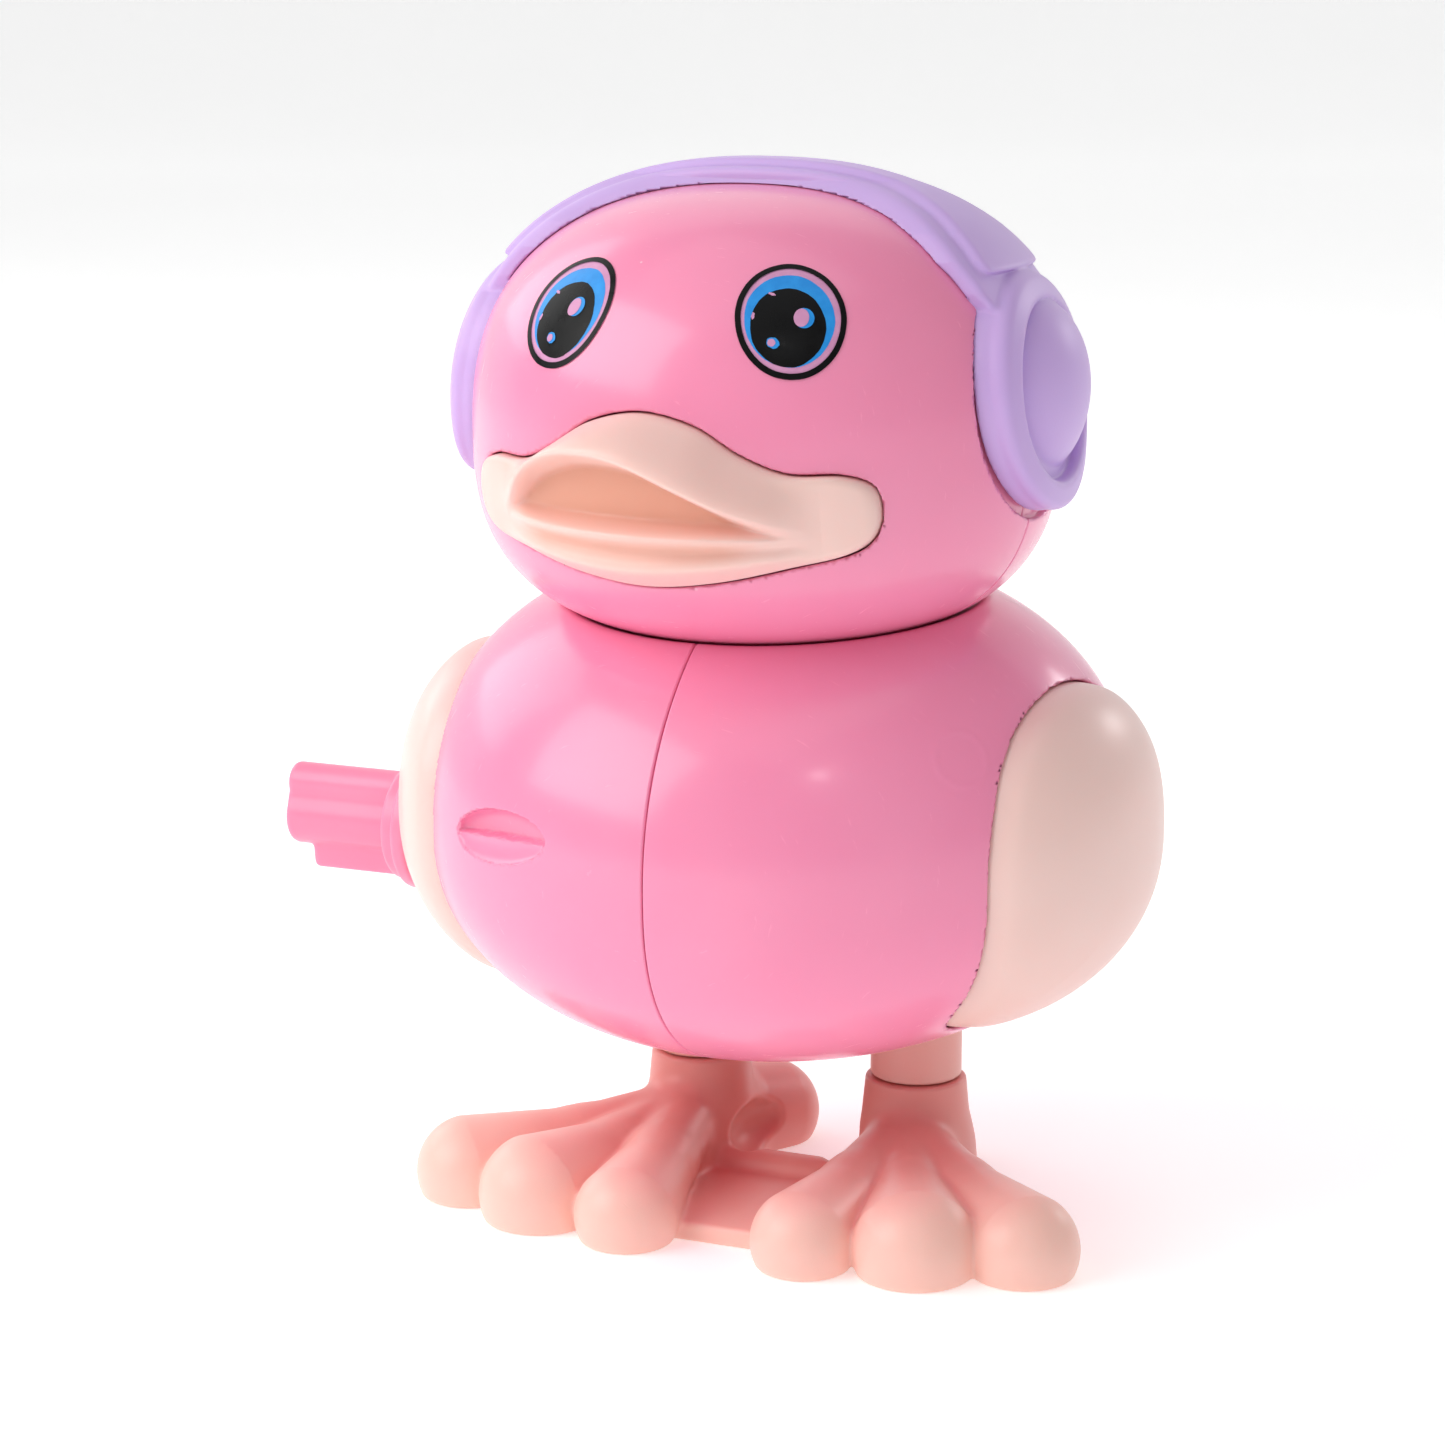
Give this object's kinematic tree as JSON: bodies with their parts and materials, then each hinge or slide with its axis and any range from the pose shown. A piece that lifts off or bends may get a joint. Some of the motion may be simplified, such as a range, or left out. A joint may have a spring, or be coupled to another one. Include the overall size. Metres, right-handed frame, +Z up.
{
  "type": "wind-up hopping toy",
  "caption": "Wind-up hopping duck toy with headphones: round pink body rocking on one-piece webbed feet, turning head, side winding key and a small clockwork motor inside.",
  "frame": {"origin": "on the ground, under the middle of the plate that joins the two feet", "axes": "+Z up; -Y the way the duck looks; +X towards its left, away from the winding key"},
  "size_m": [0.0784, 0.0648, 0.0886],
  "materials": {
    "pink_shell": "glossy injection-moulded pink",
    "cream": "satin-gloss cream moulding",
    "purple": "satin lavender moulding",
    "peach": "satin peach moulding",
    "key_pink": "glossy pink moulding",
    "case_plastic": "natural moulded plastic",
    "gear_plastic": "natural acetal",
    "steel": "plain drawn steel",
    "spring_steel": "blued spring steel"
  },
  "bodies": {
    "feet": {"feet": "peach", "leg_left": "peach", "leg_right": "peach"},
    "body": {"body_shell_left": "pink_shell", "body_shell_right": "pink_shell", "wing_left": "cream", "wing_right": "cream", "motor_case_left": "case_plastic", "motor_case_right": "case_plastic", "mainspring": "spring_steel", "pivot_shaft": "steel", "body_screw_upper": "steel", "body_screw_lower": "steel", "motor_screw_1": "steel", "motor_screw_2": "steel", "motor_screw_3": "steel"},
    "head": {"head_shell_front": "pink_shell", "head_shell_rear": "pink_shell", "beak": "cream", "headphones": "purple", "neck_spool": "case_plastic", "head_screw_left": "steel", "head_screw_right": "steel"},
    "key": {"winding_key": "key_pink", "winding_arbor": "steel", "ratchet_wheel": "steel"},
    "great_wheel": {"great_wheel": "gear_plastic", "click_spring": "spring_steel"},
    "crank": {"crank_shaft": "gear_plastic", "crank_disc_left": "gear_plastic", "crank_disc_right": "gear_plastic"},
    "governor": {"governor_wheel": "gear_plastic"},
    "escape": {"escape_wheel": "gear_plastic"},
    "pallet": {"pallet": "gear_plastic"}
  },
  "joints": [
    {"name": "leg_rock", "type": "hinge", "parent": "feet", "child": "body", "pos_m": [0, 0.0086, 0.0222], "axis": [1, 0, 0], "range_deg": [-9, 9]},
    {"name": "head_turn", "type": "hinge", "parent": "body", "child": "head", "pos_m": [0, -0.003, 0.0501], "axis": [0, 0, 1], "continuous": true},
    {"name": "key_turn", "type": "hinge", "parent": "body", "child": "key", "pos_m": [0, 0, 0.0299], "axis": [1, 0, 0], "range_deg": [0, 1080]},
    {"name": "crank_spin", "type": "hinge", "parent": "body", "child": "crank", "pos_m": [0, 0.009, 0.03665], "axis": [1, 0, 0], "range_deg": [-180, 180]},
    {"name": "great_wheel_spin", "type": "hinge", "parent": "body", "child": "great_wheel", "pos_m": [0, 0, 0.0299], "axis": [1, 0, 0], "range_deg": [-45, 45]},
    {"name": "governor_spin", "type": "hinge", "parent": "body", "child": "governor", "pos_m": [0, -0.0102, 0.03465], "axis": [1, 0, 0], "range_deg": [-180, 180]},
    {"name": "escape_spin", "type": "hinge", "parent": "body", "child": "escape", "pos_m": [0, -0.0147, 0.02686], "axis": [1, 0, 0], "range_deg": [-540, 540]},
    {"name": "pallet_rock", "type": "hinge", "parent": "body", "child": "pallet", "pos_m": [0, -0.00937, 0.02513], "axis": [1, 0, 0], "range_deg": [-3, 3]}
  ],
  "couplings": [
    {"joint": "crank_spin", "follows": "leg_rock", "ratio": -10},
    {"joint": "great_wheel_spin", "follows": "leg_rock", "ratio": 2.5},
    {"joint": "governor_spin", "follows": "leg_rock", "ratio": -10},
    {"joint": "escape_spin", "follows": "leg_rock", "ratio": 30}
  ]
}
